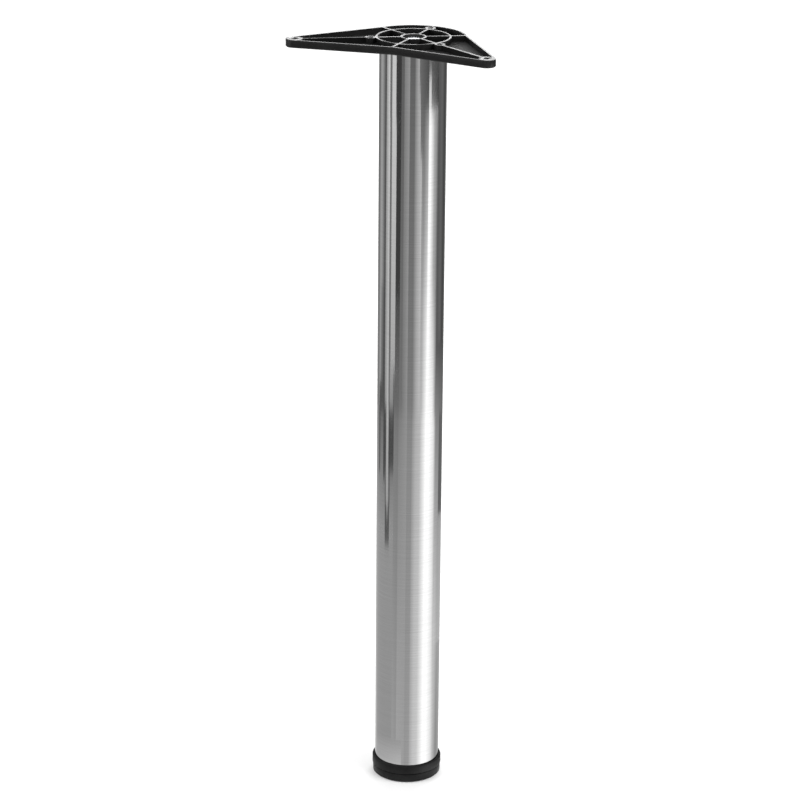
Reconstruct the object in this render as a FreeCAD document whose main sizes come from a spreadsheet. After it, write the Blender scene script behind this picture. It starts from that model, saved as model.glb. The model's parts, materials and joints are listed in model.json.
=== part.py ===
import FreeCAD, Part
import os
import re
import Sketcher

# Height adjustable table leg: a steel tube between a ribbed mounting plate and a screw foot.
# Frame: Z up along the tube, origin on the floor under the tube's axis, arms of the plate towards -Y.

# Driving dimensions in millimetres: name, size and what it measures.
DIMENSIONS = [
    ("leg_height", "710", "floor to table, foot screwed home"),
    ("tube_diameter", "60", "outside of the tube"),
    ("tube_wall", "1", "wall of the tube"),
    ("tube_fit", "0.15", "radial play of a moulding in or around the tube"),
    ("plate_thickness", "7", "mounting plate from underside to table"),
    ("plate_floor", "2", "floor of the plate's pockets"),
    ("plate_wall", "1.6", "wall round the plate's edge"),
    ("plate_chamfer", "0.8", "chamfer of the plate's lower edge"),
    ("rib_thickness", "2", "ribs of the plate"),
    ("ring_offset", "2.5", "tube surface to the middle of the round rib"),
    ("boss_offset", "5.5", "round rib to the centre of a screw boss"),
    ("edge_offset", "9.2", "centre of a screw boss to the plate's edge"),
    ("arm_reach", "104.5", "tube axis to the screw hole in an arm's tip"),
    ("tip_radius", "8", "rounding of an arm's tip"),
    ("boss_diameter", "10", "screw boss"),
    ("screw_hole", "5", "hole for a wood screw"),
    ("screw_sink", "10", "mouth of the countersink under a screw hole"),
    ("spigot_depth", "20", "spigot of the plate inside the tube"),
    ("spigot_wall", "2.5", "wall and webs of the spigot"),
    ("hub_wall", "2.2", "wall round the bolt's recess"),
    ("recess_diameter", "19", "recess for the bolt's head"),
    ("head_sunk", "1.7", "table face to the top of the bolt's head"),
    ("bolt_diameter", "8", "thread of the plate bolt"),
    ("bolt_flats", "13", "plate bolt and nut across the flats"),
    ("bolt_head", "5.3", "height of the bolt's head"),
    ("bolt_play", "0.5", "bolt hole larger than the bolt all round"),
    ("bolt_end", "3.5", "bolt past its nut"),
    ("bolt_nut", "6.5", "height of the bolt's nut"),
    ("thread_play", "0.06", "radial play of a thread in its nut"),
    ("washer_diameter", "16", "flat washer"),
    ("washer_thickness", "1.6", "flat washer"),
    ("spring_diameter", "14.8", "spring washer"),
    ("spring_thickness", "2", "spring washer"),
    ("spring_slit", "1.2", "slit of the spring washer"),
    ("bridge_gap", "8", "spigot to the bridge in the tube"),
    ("bridge_sheet", "2", "sheet of the bridge"),
    ("bridge_skirt", "14", "height of the bridge"),
    ("bridge_shoulder", "1.2", "slanted shoulder of the bridge"),
    ("bridge_fit", "0.1", "radial gap between bridge and tube"),
    ("glide_height", "3", "glide pad"),
    ("glide_proud", "0.5", "glide pad below the foot's ring"),
    ("glide_play", "0.3", "play of the glide pad in the foot"),
    ("glide_chamfer", "0.3", "chamfer of the glide pad's edge"),
    ("foot_step", "0.6", "foot ring inside the edge of the end cap"),
    ("foot_height", "7.7", "ring of the foot"),
    ("foot_wall", "2.05", "wall of the foot's ring"),
    ("foot_chamfer", "0.8", "chamfer of the foot's lower edge"),
    ("foot_core", "2.2", "depth of the pockets under the foot"),
    ("foot_ledge", "3", "seat of the glide pad inside the ring"),
    ("foot_rib", "2", "ribs under the foot"),
    ("lip_depth", "0.9", "lip that holds the glide pad"),
    ("lip_height", "0.4", "lip that holds the glide pad"),
    ("land_inset", "2.2", "foot's edge to its raised land"),
    ("stop_gap", "0.3", "land of the foot to the end cap"),
    ("groove_gap", "0.8", "groove between foot and end cap"),
    ("hub_height", "12", "hub of the foot above the ring's lower edge"),
    ("stud_wall", "2.7", "hub wall outside the stud head's corners"),
    ("hub_play", "0.5", "play of the foot's hub in the end cap"),
    ("hub_headroom", "1", "foot's hub to the nut above it"),
    ("stud_diameter", "10", "thread of the foot's stud"),
    ("stud_flats", "17", "stud head and captive nut across the flats"),
    ("stud_head", "6.4", "height of the stud's head"),
    ("stud_length", "50", "stud above its head"),
    ("stud_play", "0.4", "play of the stud in the end cap"),
    ("stud_nut", "8.4", "height of the captive nut"),
    ("pocket_play", "0.1", "play of a hexagon in its pocket"),
    ("cap_wall", "2.15", "rim of the end cap round the tube"),
    ("cap_floor", "2", "end cap under the tube"),
    ("cap_rim", "8", "height of the end cap's rim"),
    ("cap_shoulder", "1.2", "rounded shoulder of the rim, made of two slants"),
    ("cap_web", "2", "webs of the end cap"),
    ("cap_ceiling", "5", "end cap above the captive nut"),
    ("plug_wall", "2.2", "plug of the end cap inside the tube"),
    ("plug_length", "30", "plug of the end cap inside the tube"),
    ("end_chamfer", "1", "chamfer at a screw's end"),
]
SIZE_NAMES = {name for name, size, meaning in DIMENSIONS}

# The plate has six spokes. Arms and screw bosses lie on every second one.
SPOKES = 6
BOSSES = 3
ARM_ANGLE = 30
# Corners of a hexagon and the chamfer on its end faces, as shares of its size across the flats.
HEX_CORNERS = 6
CHAMFER_START = 0.475
CHAMFER_REACH = 0.6
CHAMFER_SLOPE = 30
# Middle of a rounded shoulder, as a share of its size from the corner.
SHOULDER_MIDDLE = 0.29
# Where an arm's back edge meets its tip before the sketch is solved, as shares of the tip's radius.
TIP_MEETS = (0.8, 0.6)
NEAR_ZERO = 1e-6
MM3_PER_CM3 = 1000


class Point:
    """Numbers of the points on a sketch's line or arc."""

    START = 1
    END = 2
    CENTRE = 3


# The origin of a sketch and its two axes.
ORIGIN = (-1, Point.START)
LEVEL_AXIS, UPRIGHT_AXIS = -1, -2

# Formulas in the names above.
TUBE_RADIUS = "(tube_diameter / 2)"
BORE_RADIUS = "(tube_diameter / 2 - tube_wall)"
RING_RADIUS = f"({TUBE_RADIUS} + ring_offset)"
BOSS_RADIUS = f"({RING_RADIUS} + boss_offset)"
EDGE_RADIUS = f"({BOSS_RADIUS} + edge_offset)"
HUB_RADIUS = "(recess_diameter / 2 + hub_wall)"
SPIGOT_RADIUS = f"({BORE_RADIUS} - tube_fit)"
PLATE_BOTTOM = "(leg_height - plate_thickness)"
RECESS_DEPTH = "(head_sunk + bolt_head + spring_thickness + washer_thickness)"
RECESS_FLOOR = f"(leg_height - {RECESS_DEPTH})"
HEAD_SEAT = "(leg_height - head_sunk - bolt_head)"
BRIDGE_TOP = f"({PLATE_BOTTOM} - spigot_depth - bridge_gap)"
BRIDGE_NUT_BOTTOM = f"({BRIDGE_TOP} - bridge_sheet - bolt_nut)"
BOLT_LENGTH = f"({HEAD_SEAT} - {BRIDGE_NUT_BOTTOM} + bolt_end)"
CAP_BOTTOM = "(glide_proud + foot_height + groove_gap)"
TUBE_BOTTOM = f"({CAP_BOTTOM} + cap_floor)"
CAP_RADIUS = f"({TUBE_RADIUS} + tube_fit + cap_wall)"
PLUG_RADIUS = f"({BORE_RADIUS} - tube_fit)"
FOOT_RADIUS = f"({CAP_RADIUS} - foot_step)"
GLIDE_RECESS = f"({FOOT_RADIUS} - foot_wall)"
LIP_RADIUS = f"({GLIDE_RECESS} - lip_depth)"
GLIDE_SEAT = "(glide_height - glide_proud)"
FOOT_HUB_RADIUS = "(stud_flats / sqrt(3) + stud_wall)"
NUT_SEAT = "(glide_proud + hub_height + hub_headroom)"


def fill_sheet(document):
    """Writes each dimension into a cell of its own, with its name as alias."""
    sheet = document.addObject("Spreadsheet::Sheet", "Dimensions")
    for row, (name, size, meaning) in enumerate(DIMENSIONS, start=1):
        sheet.set(f"A{row}", size)
        sheet.setAlias(f"A{row}", name)
        sheet.set(f"B{row}", meaning)
    document.recompute()
    return sheet


def tied(formula):
    """The formula with each dimension's name replaced by its cell."""
    return re.sub(r"[a-z_]+", lambda word: CELLS.get(word.group(), word.group()), formula)


def measure(formula):
    """The formula's present value."""
    return float(sheet.evalExpression(tied(formula)))


def new_body(label, height):
    """An empty body whose own zero lies at this height above the floor."""
    body = document.addObject("PartDesign::Body", label)
    body.Label = label
    body.setExpression("Placement.Base.z", tied(height))
    return body


def origin_part(body, role):
    """A plane or axis of the body's own origin."""
    return next(part for part in body.Origin.OriginFeatures if part.Role == role)


def new_sketch(body, name, plane="XY_Plane", height="0", turn="0"):
    """A sketch on one of the body's planes, moved along its normal and turned about it."""
    sketch = body.newObject("Sketcher::SketchObject", name)
    sketch.AttachmentSupport = [(origin_part(body, plane), "")]
    sketch.MapMode = "FlatFace"
    sketch.setExpression("AttachmentOffset.Base.z", tied(height))
    sketch.setExpression("AttachmentOffset.Rotation.Angle", tied(turn))
    return sketch


def tie_datum(sketch, constraint, formula):
    """Adds a constraint whose size follows the formula."""
    index = sketch.addConstraint(constraint)
    sketch.setExpression(f"Constraints[{index}]", tied(formula))


def pin(sketch, line, point, across, up):
    """Ties a sketch point to formulas for its distances from the origin."""
    for kind, axis, formula in (("DistanceX", UPRIGHT_AXIS, across), ("DistanceY", LEVEL_AXIS, up)):
        value = measure(formula)
        if abs(value) < NEAR_ZERO:
            sketch.addConstraint(Sketcher.Constraint("PointOnObject", line, point, axis))
        elif value > 0:
            tie_datum(sketch, Sketcher.Constraint(kind, *ORIGIN, line, point, value), formula)
        else:
            tie_datum(sketch, Sketcher.Constraint(kind, line, point, *ORIGIN, -value), f"-({formula})")


def spot(across, up):
    """A sketch position from two formulas."""
    return FreeCAD.Vector(measure(across), measure(up), 0)


def add_circle(sketch, radius, across="0", up="0"):
    """A circle tied to its radius and centre."""
    shape = Part.Circle(spot(across, up), FreeCAD.Vector(0, 0, 1), measure(radius))
    circle = sketch.addGeometry(shape)
    tie_datum(sketch, Sketcher.Constraint("Radius", circle, measure(radius)), radius)
    pin(sketch, circle, Point.CENTRE, across, up)


def add_loop(sketch, corners):
    """A closed run of straight lines with each corner tied to its two formulas."""
    first = sketch.GeometryCount
    count = len(corners)
    for index, corner in enumerate(corners):
        following = corners[(index + 1) % count]
        sketch.addGeometry(Part.LineSegment(spot(*corner), spot(*following)))
    for index, corner in enumerate(corners):
        line = first + index
        following = first + (index + 1) % count
        sketch.addConstraint(Sketcher.Constraint("Coincident", line, Point.END, following, Point.START))
        pin(sketch, line, Point.START, *corner)


def add_bar(sketch, near, far, thickness):
    """A rectangle along the sketch's level axis, centred on it."""
    side = f"({thickness} / 2)"
    add_loop(sketch, [(near, f"-{side}"), (far, f"-{side}"), (far, side), (near, side)])


def add_hexagon(sketch, flats):
    """A hexagon of this size across the flats, with a corner on the level axis."""
    corner_radius = f"({flats}) / sqrt(3)"
    turns = [360 * corner // HEX_CORNERS for corner in range(HEX_CORNERS)]
    corners = [(f"{corner_radius} * cos({turn})", f"{corner_radius} * sin({turn})") for turn in turns]
    add_loop(sketch, corners)


def new_feature(body, kind, name):
    """A feature that becomes the body's newest state."""
    feature = body.newObject(f"PartDesign::{kind}", name)
    body.Tip = feature
    return feature


def add_pad(body, name, sketch, length, downward=False, both_ways=False):
    """Extrudes a sketch as solid."""
    pad = new_feature(body, "Pad", name)
    pad.Profile = sketch
    pad.Reversed = downward
    pad.SideType = "Symmetric" if both_ways else "One side"
    pad.setExpression("Length", tied(length))
    document.recompute()
    return pad


def add_cut(body, name, sketch, depth=None, upward=False):
    """Extrudes a sketch as a cut, right through where no depth is given, and sees that it cuts."""
    document.recompute()
    before = body.Shape.Volume
    cut = new_feature(body, "Pocket", name)
    cut.Profile = sketch
    cut.Reversed = upward
    if depth:
        cut.setExpression("Length", tied(depth))
    else:
        cut.Type = "ThroughAll"
    document.recompute()
    if body.Shape.Volume >= before:
        raise RuntimeError(f"{name} cuts nothing")
    return cut


def add_turning(body, name, corners):
    """Turns a closed profile of radius and height round the body's axis."""
    sketch = new_sketch(body, f"{name}_profile", "XZ_Plane")
    add_loop(sketch, corners)
    turning = new_feature(body, "Revolution", name)
    turning.Profile = sketch
    turning.ReferenceAxis = (sketch, ["V_Axis"])
    document.recompute()
    return turning


def add_round_pattern(body, name, feature, count):
    """Repeats a feature evenly round the body's axis."""
    pattern = new_feature(body, "PolarPattern", name)
    pattern.Originals = [feature]
    pattern.Axis = (origin_part(body, "Z_Axis"), [""])
    pattern.Angle = 360
    pattern.Occurrences = count
    document.recompute()
    return pattern


def add_mirror(body, name, feature):
    """Repeats a feature on the other side of the YZ plane."""
    mirror = new_feature(body, "Mirrored", name)
    mirror.Originals = [feature]
    mirror.MirrorPlane = (origin_part(body, "YZ_Plane"), [""])
    document.recompute()
    return mirror


def level_edges(shape, height, radius=None):
    """Names of the edges at this height, or only those that are circles of this radius."""
    names = []
    for index, edge in enumerate(shape.Edges, start=1):
        box = edge.BoundBox
        level = abs(box.ZMin - height) < NEAR_ZERO and abs(box.ZMax - height) < NEAR_ZERO
        fits = radius is None
        if radius is not None and isinstance(edge.Curve, Part.Circle):
            fits = abs(edge.Curve.Radius - radius) < NEAR_ZERO
        if level and fits:
            names.append(f"Edge{index}")
    return names


def chamfer(body, name, size, height, radius=None):
    """Slants the edges at one height of the body."""
    base = body.Tip
    radius_value = None if radius is None else measure(radius)
    edges = level_edges(base.Shape, measure(height), radius_value)
    slanted = new_feature(body, "Chamfer", name)
    slanted.Base = (base, edges)
    slanted.setExpression("Size", tied(size))
    document.recompute()


def trim_corners(body, flats, height, upper):
    """Turns the corners off one end of a hexagon at the standard slope."""
    drop = f"({CHAMFER_REACH} - {CHAMFER_START}) * {flats} * tan({CHAMFER_SLOPE})"
    low = f"({height} - {drop})" if upper else f"({height} + {drop})"
    before = body.Shape.Volume
    end = "upper" if upper else "lower"
    sketch = new_sketch(body, f"{end}_corner_profile", "XZ_Plane")
    near = f"{CHAMFER_START} * {flats}"
    far = f"{CHAMFER_REACH} * {flats}"
    add_loop(sketch, [(near, height), (far, height), (far, low)])
    groove = new_feature(body, "Groove", f"{end}_corners")
    groove.Profile = sketch
    groove.ReferenceAxis = (sketch, ["V_Axis"])
    document.recompute()
    if body.Shape.Volume >= before:
        raise RuntimeError(f"{body.Label} keeps its corners")


def add_plate_outline(sketch, inset):
    """The plate's edge, or a line this far inside it.

    A round back between two spokes, and straight edges from there and from the front spoke
    that run tangent into the round tips of the two arms.
    """
    edge = f"({EDGE_RADIUS} - {inset})"
    tip = f"(tip_radius - {inset})"
    tip_across = f"arm_reach * cos({ARM_ANGLE})"
    tip_up = f"-(arm_reach * sin({ARM_ANGLE}))"
    waist_across = f"{edge} * cos({ARM_ANGLE})"
    waist_up = f"{edge} * sin({ARM_ANGLE})"
    upright = FreeCAD.Vector(0, 0, 1)
    left_tip = spot(f"-({tip_across})", tip_up)
    right_tip = spot(tip_across, tip_up)
    front = spot("0", f"-{edge}")
    left_waist = spot(f"-({waist_across})", waist_up)
    right_waist = spot(waist_across, waist_up)
    tip_size = measure(tip)
    outward = FreeCAD.Vector(*TIP_MEETS, 0) * tip_size
    downward = FreeCAD.Vector(0, -tip_size, 0)
    outward_left = FreeCAD.Vector(-outward.x, outward.y, 0)

    def arc(centre, radius, first, last):
        circle = Part.Circle(centre, upright, radius)
        return Part.ArcOfCircle(circle, circle.parameter(first), circle.parameter(last))

    back = sketch.addGeometry(arc(FreeCAD.Vector(), measure(edge), right_waist, left_waist))
    left_side = sketch.addGeometry(Part.LineSegment(left_waist, left_tip + outward_left))
    left_end = sketch.addGeometry(arc(left_tip, tip_size, left_tip + outward_left, left_tip + downward))
    left_front = sketch.addGeometry(Part.LineSegment(left_tip + downward, front))
    right_front = sketch.addGeometry(Part.LineSegment(front, right_tip + downward))
    right_end = sketch.addGeometry(arc(right_tip, tip_size, right_tip + downward, right_tip + outward))
    right_side = sketch.addGeometry(Part.LineSegment(right_tip + outward, right_waist))

    add = sketch.addConstraint
    add(Sketcher.Constraint("Coincident", back, Point.CENTRE, *ORIGIN))
    tie_datum(sketch, Sketcher.Constraint("Radius", back, measure(edge)), edge)
    for end in (Point.START, Point.END):
        rise = Sketcher.Constraint("DistanceY", *ORIGIN, back, end, measure(waist_up))
        tie_datum(sketch, rise, waist_up)
    add(Sketcher.Constraint("Coincident", left_side, Point.START, back, Point.END))
    add(Sketcher.Constraint("Coincident", right_side, Point.END, back, Point.START))
    add(Sketcher.Constraint("Coincident", left_front, Point.END, right_front, Point.START))
    pin(sketch, right_front, Point.START, "0", f"-{edge}")
    for tip_arc, across in ((left_end, f"-({tip_across})"), (right_end, tip_across)):
        tie_datum(sketch, Sketcher.Constraint("Radius", tip_arc, tip_size), tip)
        pin(sketch, tip_arc, Point.CENTRE, across, tip_up)
    add(Sketcher.Constraint("Tangent", left_side, Point.END, left_end, Point.START))
    add(Sketcher.Constraint("Tangent", left_end, Point.END, left_front, Point.START))
    add(Sketcher.Constraint("Tangent", right_front, Point.END, right_end, Point.START))
    add(Sketcher.Constraint("Tangent", right_end, Point.END, right_side, Point.START))


def make_plate():
    """The moulded plate: a shallow ribbed tray with a spigot below it."""
    body = new_body("mounting_plate", PLATE_BOTTOM)
    outline = new_sketch(body, "outline")
    add_plate_outline(outline, "0")
    add_pad(body, "blank", outline, "plate_thickness")
    tray = new_sketch(body, "tray_outline", height="plate_thickness")
    add_plate_outline(tray, "plate_wall")
    add_cut(body, "tray", tray, "plate_thickness - plate_floor")
    chamfer(body, "lower_edge", "plate_chamfer", "0")

    # Six spokes, and the two that run on to the tips of the arms.
    spoke = new_sketch(body, "spoke_outline", turn="-90")
    add_bar(spoke, "recess_diameter / 2 + hub_wall / 2", f"{EDGE_RADIUS} - plate_wall / 2", "rib_thickness")
    spoke_pad = add_pad(body, "spoke", spoke, "plate_thickness")
    add_round_pattern(body, "spokes", spoke_pad, SPOKES)
    arm = new_sketch(body, "arm_outline", turn=f"-{ARM_ANGLE}")
    add_bar(arm, BOSS_RADIUS, "arm_reach", "rib_thickness")
    arm_pad = add_pad(body, "arm_rib", arm, "plate_thickness")
    add_mirror(body, "arm_ribs", arm_pad)

    # Round rib, hub, screw bosses and the bosses in the tips.
    ring = new_sketch(body, "ring_outline")
    add_circle(ring, f"{RING_RADIUS} + rib_thickness / 2")
    add_circle(ring, f"{RING_RADIUS} - rib_thickness / 2")
    add_pad(body, "round_rib", ring, "plate_thickness")
    hub = new_sketch(body, "hub_outline")
    add_circle(hub, HUB_RADIUS)
    add_pad(body, "hub", hub, "plate_thickness")
    boss = new_sketch(body, "boss_outline")
    add_circle(boss, "boss_diameter / 2", "0", BOSS_RADIUS)
    boss_pad = add_pad(body, "boss", boss, "plate_thickness")
    add_round_pattern(body, "bosses", boss_pad, BOSSES)
    tip = new_sketch(body, "tip_outline", turn=f"-{ARM_ANGLE}")
    add_circle(tip, "tip_radius - plate_wall / 2", "arm_reach", "0")
    tip_pad = add_pad(body, "tip_boss", tip, "plate_thickness")
    add_mirror(body, "tip_bosses", tip_pad)

    # Spigot that centres the plate in the tube, braced to the hub by webs.
    spigot = new_sketch(body, "spigot_outline")
    add_circle(spigot, SPIGOT_RADIUS)
    add_circle(spigot, f"{SPIGOT_RADIUS} - spigot_wall")
    add_pad(body, "spigot", spigot, "spigot_depth", downward=True)
    chamfer(body, "spigot_lead", "spigot_wall / 2", "-spigot_depth", SPIGOT_RADIUS)
    lower_hub = new_sketch(body, "lower_hub_outline")
    add_circle(lower_hub, HUB_RADIUS)
    add_pad(body, "lower_hub", lower_hub, "spigot_depth", downward=True)
    web = new_sketch(body, "web_outline", turn="-90")
    add_bar(web, "recess_diameter / 2 + hub_wall / 2", f"{SPIGOT_RADIUS} - spigot_wall / 2", "spigot_wall")
    web_pad = add_pad(body, "web", web, "spigot_depth - spigot_wall", downward=True)
    add_round_pattern(body, "webs", web_pad, SPOKES)

    # Recess for the bolt's head, its hole, and the countersunk screw holes.
    recess = new_sketch(body, "recess_outline", height="plate_thickness")
    add_circle(recess, "recess_diameter / 2")
    add_cut(body, "recess", recess, RECESS_DEPTH)
    bolt_hole = new_sketch(body, "bolt_hole_outline", height="plate_thickness")
    add_circle(bolt_hole, "bolt_diameter / 2 + bolt_play")
    add_cut(body, "bolt_hole", bolt_hole)
    holes = new_sketch(body, "screw_hole_outline", height="plate_thickness")
    for reach, turn in hole_places():
        add_circle(holes, "screw_hole / 2", f"{reach} * cos({turn})", f"{reach} * sin({turn})")
    add_cut(body, "screw_holes", holes)
    chamfer(body, "countersinks", "(screw_sink - screw_hole) / 2", "0", "screw_hole / 2")
    return body


def hole_places():
    """Distance from the axis and direction of each screw hole: the bosses, then the tips."""
    boss_turns = [90 + 360 * boss // BOSSES for boss in range(BOSSES)]
    places = [(BOSS_RADIUS, turn) for turn in boss_turns]
    places += [("arm_reach", -ARM_ANGLE), ("arm_reach", 180 + ARM_ANGLE)]
    return places


def make_tube():
    """The plain steel tube between end cap and plate."""
    body = new_body("tube", TUBE_BOTTOM)
    section = new_sketch(body, "section")
    add_circle(section, TUBE_RADIUS)
    add_circle(section, BORE_RADIUS)
    add_pad(body, "length", section, f"{PLATE_BOTTOM} - {TUBE_BOTTOM}")
    return body


def make_bridge():
    """The pressed cup in the tube that the plate bolt pulls against."""
    body = new_body("tube_bridge", f"{BRIDGE_TOP} - bridge_skirt")
    outside = f"({BORE_RADIUS} - bridge_fit)"
    inside = f"({outside} - bridge_sheet)"
    hole = "(bolt_diameter / 2 + bolt_play)"
    under = "(bridge_skirt - bridge_sheet)"
    slant = f"({outside} - bridge_shoulder)"
    shoulder = "(bridge_skirt - bridge_shoulder)"
    corners = [(inside, "0"), (outside, "0"), (outside, shoulder), (slant, "bridge_skirt")]
    corners += [(hole, "bridge_skirt"), (hole, under), (inside, under)]
    add_turning(body, "cup", corners)
    return body


def make_nut(label, height, flats, thickness, thread):
    """A hexagon nut with its corners turned off at the upper end."""
    body = new_body(label, height)
    hexagon = new_sketch(body, "hexagon")
    add_hexagon(hexagon, flats)
    add_pad(body, "block", hexagon, thickness)
    trim_corners(body, flats, thickness, upper=True)
    bore = new_sketch(body, "bore_outline", height=thickness)
    add_circle(bore, f"{thread} / 2 + thread_play")
    add_cut(body, "bore", bore)
    return body


def make_screw(label, height, flats, head, thread, length, head_up):
    """A hexagon screw. Its own zero lies on the seat of its head."""
    body = new_body(label, height)
    hexagon = new_sketch(body, "hexagon")
    add_hexagon(hexagon, flats)
    add_pad(body, "head", hexagon, head, downward=not head_up)
    trim_corners(body, flats, head if head_up else f"-{head}", upper=head_up)
    shank = new_sketch(body, "shank_outline")
    add_circle(shank, f"{thread} / 2")
    add_pad(body, "shank", shank, length, downward=head_up)
    tip = f"-{length}" if head_up else length
    chamfer(body, "shank_end", "end_chamfer", tip, f"{thread} / 2")
    return body


def make_washer(label, height, outside, hole, thickness, slit=None):
    """A flat ring, cut through on one side where it is a spring washer."""
    body = new_body(label, height)
    ring = new_sketch(body, "ring")
    add_circle(ring, f"{outside} / 2")
    add_circle(ring, f"{hole} / 2")
    add_pad(body, "thickness", ring, thickness)
    if slit:
        opening = new_sketch(body, "slit_outline", height=thickness)
        add_bar(opening, "0", outside, slit)
        add_cut(body, "slit", opening)
    return body


def make_end_cap():
    """The collar round the lower end of the tube, with a plug that holds the foot's nut."""
    body = new_body("end_cap", CAP_BOTTOM)
    opening = f"({FOOT_HUB_RADIUS} + hub_play)"
    rim_inside = f"({TUBE_RADIUS} + tube_fit)"
    plug_inside = f"({PLUG_RADIUS} - plug_wall)"
    plug_top = "(cap_floor + plug_length)"
    middle = f"{SHOULDER_MIDDLE} * cap_shoulder"
    corners = [(opening, "0"), (CAP_RADIUS, "0"), (CAP_RADIUS, "cap_rim - cap_shoulder")]
    corners += [(f"{CAP_RADIUS} - {middle}", f"cap_rim - {middle}")]
    corners += [(f"{CAP_RADIUS} - cap_shoulder", "cap_rim")]
    corners += [(rim_inside, "cap_rim"), (rim_inside, "cap_floor"), (PLUG_RADIUS, "cap_floor")]
    corners += [(PLUG_RADIUS, plug_top)]
    corners += [(plug_inside, plug_top), (plug_inside, "cap_floor"), (opening, "cap_floor")]
    add_turning(body, "collar", corners)

    # Webs from the plug to the boss that holds the nut.
    boss_bottom = f"({NUT_SEAT} - {CAP_BOTTOM})"
    boss_height = "(stud_nut + cap_ceiling)"
    boss_top = f"({boss_bottom} + {boss_height})"
    web_near = f"({FOOT_HUB_RADIUS} - stud_wall / 2)"
    web_far = f"({PLUG_RADIUS} - plug_wall / 2)"
    web_foot = f"({opening} + cap_web / 2)"
    web = new_sketch(body, "web_outline", "XZ_Plane")
    corners = [(web_foot, "cap_floor / 2"), (web_far, "cap_floor / 2"), (web_far, boss_top)]
    add_loop(web, corners + [(web_near, boss_top), (web_near, boss_bottom), (web_foot, boss_bottom)])
    web_pad = add_pad(body, "web", web, "cap_web", both_ways=True)
    add_round_pattern(body, "webs", web_pad, SPOKES)
    boss = new_sketch(body, "boss_outline", height=boss_bottom)
    add_circle(boss, FOOT_HUB_RADIUS)
    add_pad(body, "boss", boss, boss_height)

    # Pocket for the nut, open below, and the way for the stud above it.
    pocket = new_sketch(body, "pocket_outline", height=boss_bottom)
    add_hexagon(pocket, "stud_flats + 2 * pocket_play")
    add_cut(body, "nut_pocket", pocket, "stud_nut", upward=True)
    way = new_sketch(body, "way_outline", height=boss_top)
    add_circle(way, "stud_diameter / 2 + stud_play")
    add_cut(body, "stud_way", way)
    return body


def make_foot():
    """The ring that is turned by hand, with a hub that holds the stud's head."""
    body = new_body("adjuster_foot", "glide_proud")
    land = "(foot_height + groove_gap - stop_gap)"
    land_radius = f"({FOOT_RADIUS} - land_inset)"
    core_top = f"({GLIDE_SEAT} + foot_core)"
    ledge = f"({GLIDE_RECESS} - foot_ledge)"
    stud_hole = "(stud_diameter / 2 + pocket_play)"
    corners = [(LIP_RADIUS, "0"), (FOOT_RADIUS, "0"), (FOOT_RADIUS, "foot_height")]
    corners += [(land_radius, "foot_height"), (land_radius, land), (FOOT_HUB_RADIUS, land)]
    corners += [(FOOT_HUB_RADIUS, "hub_height"), (stud_hole, "hub_height"), (stud_hole, GLIDE_SEAT)]
    corners += [(FOOT_HUB_RADIUS, GLIDE_SEAT), (FOOT_HUB_RADIUS, core_top), (ledge, core_top)]
    corners += [(ledge, GLIDE_SEAT), (GLIDE_RECESS, GLIDE_SEAT), (GLIDE_RECESS, "lip_height")]
    add_turning(body, "disc", corners + [(LIP_RADIUS, "lip_height")])
    chamfer(body, "lower_edge", "foot_chamfer", "0", FOOT_RADIUS)
    rib = new_sketch(body, "rib_outline", height=GLIDE_SEAT)
    add_bar(rib, f"{FOOT_HUB_RADIUS} - stud_wall / 2", f"{ledge} + foot_ledge / 2", "foot_rib")
    rib_pad = add_pad(body, "rib", rib, "foot_core + foot_rib / 2")
    add_round_pattern(body, "ribs", rib_pad, SPOKES)
    pocket = new_sketch(body, "pocket_outline", height=GLIDE_SEAT)
    add_hexagon(pocket, "stud_flats + 2 * pocket_play")
    add_cut(body, "head_pocket", pocket, "stud_head", upward=True)
    return body


def make_glide():
    """The disc under the foot: its flange is trapped behind the foot's lip, and it turns freely."""
    body = new_body("glide_pad", "0")
    tread = f"({LIP_RADIUS} - glide_play)"
    flange = f"({GLIDE_RECESS} - glide_play)"
    shoulder = "(glide_proud + lip_height + glide_play)"
    corners = [("0", "0"), (tread, "0"), (tread, shoulder), (flange, shoulder)]
    add_turning(body, "disc", corners + [(flange, "glide_height"), ("0", "glide_height")])
    chamfer(body, "tread_edge", "glide_chamfer", "0", tread)
    return body


document = FreeCAD.newDocument("TableLeg")
sheet = fill_sheet(document)
CELLS = {name: f"Dimensions.{name}" for name in SIZE_NAMES}

hole = "(bolt_diameter + 2 * bolt_play)"
spring_bottom = f"{RECESS_FLOOR} + washer_thickness"
stud_seat = "glide_height + stud_head"
sub_parts = [
    make_plate(),
    make_screw("plate_bolt", HEAD_SEAT, "bolt_flats", "bolt_head", "bolt_diameter", BOLT_LENGTH, True),
    make_washer("spring_washer", spring_bottom, "spring_diameter", hole, "spring_thickness", "spring_slit"),
    make_washer("flat_washer", RECESS_FLOOR, "washer_diameter", hole, "washer_thickness"),
    make_tube(),
    make_bridge(),
    make_nut("bridge_nut", BRIDGE_NUT_BOTTOM, "bolt_flats", "bolt_nut", "bolt_diameter"),
    make_end_cap(),
    make_nut("captive_nut", NUT_SEAT, "stud_flats", "stud_nut", "stud_diameter"),
    make_foot(),
    make_screw("foot_stud", stud_seat, "stud_flats", "stud_head", "stud_diameter", "stud_length", False),
    make_glide(),
]
document.recompute()

for item in document.Objects:
    if "Invalid" in item.State or "Error" in item.State:
        raise RuntimeError(f"{item.Label} did not build: {item.State}")
for sub_part in sub_parts:
    if sub_part.Shape.isNull() or not sub_part.Shape.isValid():
        raise RuntimeError(f"{sub_part.Label} has no valid shape")

os.makedirs("parts", exist_ok=True)
for sub_part in sub_parts:
    sub_part.Shape.exportStep(f"parts/{sub_part.Label}.step")
    solids = len(sub_part.Shape.Solids)
    volume = sub_part.Shape.Volume / MM3_PER_CM3
    print(f"{sub_part.Label}: {solids} solid, {volume:.2f} cm3, {sub_part.Shape.BoundBox}")
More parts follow.
